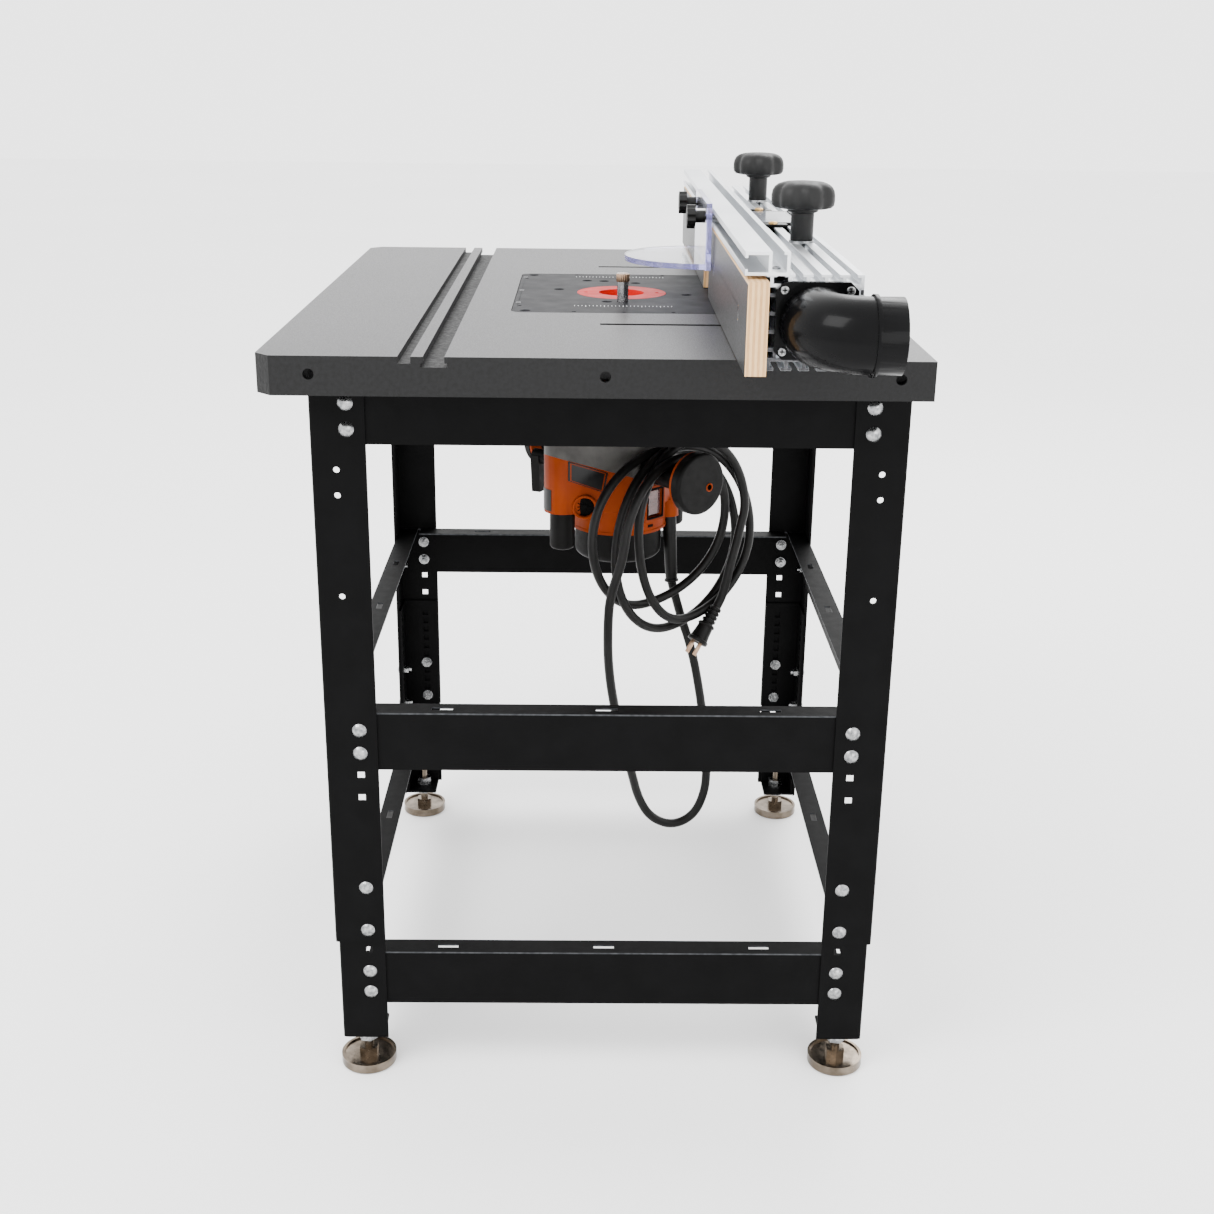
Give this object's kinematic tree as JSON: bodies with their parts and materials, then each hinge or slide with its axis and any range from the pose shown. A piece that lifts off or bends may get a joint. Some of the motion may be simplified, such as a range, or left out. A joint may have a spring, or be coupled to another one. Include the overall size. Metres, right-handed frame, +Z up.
{
  "type": "router table",
  "caption": "Floor-standing router table: iron top on a telescoping steel stand, T-slot fence with dust port and guard, and a plunge router hung under the insert plate.",
  "frame": {"origin": "on the floor, below the middle of the whole object's footprint (the cord left out)", "axes": "+X along the top towards the dust-port end, +Y towards the fence side, +Z up; the operator stands at -Y"},
  "size_m": [1.0422, 0.6101, 0.9447],
  "materials": {
    "ground_iron": "surface-ground satin, lightly oiled",
    "anodised_plate": "grey anodised, fine brushed",
    "red_ring": "red anodised satin",
    "zinc_steel": "zinc plated",
    "polished_steel": "polished",
    "black_steel": "black powder coat, fine texture",
    "foot_nickel": "yellowish nickel plate",
    "fence_aluminium": "clear anodised extrusion",
    "laminate_ply": "black laminate on pale plywood",
    "clear_sheet": "clear acrylic with polished edges",
    "gloss_black": "moulded gloss black",
    "knob_black": "moulded satin black",
    "router_black": "moulded fine-textured black",
    "router_grey": "painted casting, light grey",
    "router_orange": "moulded orange",
    "cord_rubber": "satin black sheath"
  },
  "bodies": {
    "lower_stand": {"lower_leg_right_front": "black_steel", "lower_leg_right_rear": "black_steel", "lower_leg_left_front": "black_steel", "lower_leg_left_rear": "black_steel", "low_rails_end": "black_steel", "low_rails_side": "black_steel", "lower_fasteners": "zinc_steel", "foot_brackets": "black_steel"},
    "table": {"table_top": "ground_iron", "insert_plate": "anodised_plate", "plate_screws": "zinc_steel", "upper_leg_right_front": "black_steel", "upper_leg_right_rear": "black_steel", "upper_leg_left_front": "black_steel", "upper_leg_left_rear": "black_steel", "aprons_end": "black_steel", "aprons_side": "black_steel", "mid_rails_end": "black_steel", "mid_rails_side": "black_steel", "upper_bolts": "zinc_steel", "router_base": "router_black", "plunge_columns": "polished_steel"},
    "insert_ring": {"insert_ring": "red_ring"},
    "starter_pin": {"starter_pin": "polished_steel"},
    "motor": {"motor_casting": "router_grey", "motor_housing": "router_orange", "motor_end_cap": "router_black", "column_caps": "router_black", "handle_necks": "router_black", "handle_knob_left": "router_black", "strain_relief": "cord_rubber", "cord_tube": "cord_rubber", "cord_coil": "cord_rubber", "cord_tail": "cord_rubber", "plug": "cord_rubber"},
    "winder": {"handle_knob_right": "router_black"},
    "plunge_lever": {"plunge_lever": "router_black"},
    "power_switch": {"power_switch": "router_black"},
    "spindle": {"spindle": "polished_steel"},
    "fence": {"fence_extrusion": "fence_aluminium", "top_track": "fence_aluminium", "fence_screws": "zinc_steel", "dust_port": "gloss_black", "bit_hood": "gloss_black", "hood_cover": "clear_sheet", "fence_clamps": "zinc_steel"},
    "guard": {"guard": "clear_sheet", "guard_bolts": "zinc_steel"},
    "foot_right_front": {"foot_right_front": "foot_nickel"},
    "foot_right_rear": {"foot_right_rear": "foot_nickel"},
    "foot_left_front": {"foot_left_front": "foot_nickel"},
    "foot_left_rear": {"foot_left_rear": "foot_nickel"},
    "fence_knob_right": {"fence_knob_right": "knob_black"},
    "board_right": {"board_right": "laminate_ply", "board_bolts_right": "zinc_steel"},
    "fence_knob_left": {"fence_knob_left": "knob_black"},
    "board_left": {"board_left": "laminate_ply", "board_bolts_left": "zinc_steel"},
    "guard_knob_right": {"guard_knob_right": "knob_black"},
    "guard_knob_left": {"guard_knob_left": "knob_black"}
  },
  "joints": [
    {"name": "stand_height", "type": "slide", "parent": "lower_stand", "child": "table", "axis": [0, 0, 1], "range_m": [0, 0.0762]},
    {"name": "foot_right_front_screw", "type": "slide", "parent": "lower_stand", "child": "foot_right_front", "axis": [0, 0, -1], "range_m": [0, 0.02]},
    {"name": "foot_right_rear_screw", "type": "slide", "parent": "lower_stand", "child": "foot_right_rear", "axis": [0, 0, -1], "range_m": [0, 0.02]},
    {"name": "foot_left_front_screw", "type": "slide", "parent": "lower_stand", "child": "foot_left_front", "axis": [0, 0, -1], "range_m": [0, 0.02]},
    {"name": "foot_left_rear_screw", "type": "slide", "parent": "lower_stand", "child": "foot_left_rear", "axis": [0, 0, -1], "range_m": [0, 0.02]},
    {"name": "ring_lift", "type": "slide", "parent": "table", "child": "insert_ring", "axis": [0, 0, 1], "range_m": [0, 0.03]},
    {"name": "starter_pin_lift", "type": "slide", "parent": "table", "child": "starter_pin", "axis": [0, 0, 1], "range_m": [0, 0.03]},
    {"name": "plunge", "type": "slide", "parent": "table", "child": "motor", "axis": [0, 0, 1], "range_m": [-0.02, 0.045]},
    {"name": "winder_turn", "type": "hinge", "parent": "motor", "child": "winder", "pos_m": [0.06468, 0.10961, 0.61], "axis": [0.7771, 0.6293, 0], "range_deg": [-116, 260]},
    {"name": "lever_turn", "type": "hinge", "parent": "motor", "child": "plunge_lever", "pos_m": [-0.04088, -0.02959, 0.607], "axis": [-0.4446, -0.8957, 0], "range_deg": [0, 35]},
    {"name": "switch_rock", "type": "hinge", "parent": "motor", "child": "power_switch", "pos_m": [0.00173, 0.06535, 0.569], "axis": [-0.7071, 0.7071, 0], "range_deg": [0, 12]},
    {"name": "spindle_turn", "type": "hinge", "parent": "motor", "child": "spindle", "pos_m": [-0.03363, 0.03, 0.654], "axis": [0, 0, 1], "continuous": true},
    {"name": "fence_slide", "type": "slide", "parent": "table", "child": "fence", "axis": [0, 1, 0], "range_m": [-0.08, 0.06]},
    {"name": "fence_knob_right_turn", "type": "hinge", "parent": "fence", "child": "fence_knob_right", "pos_m": [0.18638, 0.2019, 0.8867], "axis": [0, 0, 1], "continuous": true},
    {"name": "board_right_slide", "type": "slide", "parent": "fence", "child": "board_right", "axis": [1, 0, 0], "range_m": [-0.025, 0.05]},
    {"name": "fence_knob_left_turn", "type": "hinge", "parent": "fence", "child": "fence_knob_left", "pos_m": [-0.25362, 0.2019, 0.8867], "axis": [0, 0, 1], "continuous": true},
    {"name": "board_left_slide", "type": "slide", "parent": "fence", "child": "board_left", "axis": [-1, 0, 0], "range_m": [-0.025, 0.05]},
    {"name": "guard_slide", "type": "slide", "parent": "fence", "child": "guard", "axis": [1, 0, 0], "range_m": [-0.06, 0.06]},
    {"name": "guard_knob_right_turn", "type": "hinge", "parent": "guard", "child": "guard_knob_right", "pos_m": [0.04738, 0.1166, 0.8965], "axis": [0, -1, 0], "continuous": true},
    {"name": "guard_knob_left_turn", "type": "hinge", "parent": "guard", "child": "guard_knob_left", "pos_m": [-0.11463, 0.1166, 0.8965], "axis": [0, -1, 0], "continuous": true}
  ],
  "couplings": [
    {"joint": "winder_turn", "follows": "plunge", "rad_per_m": 100}
  ]
}
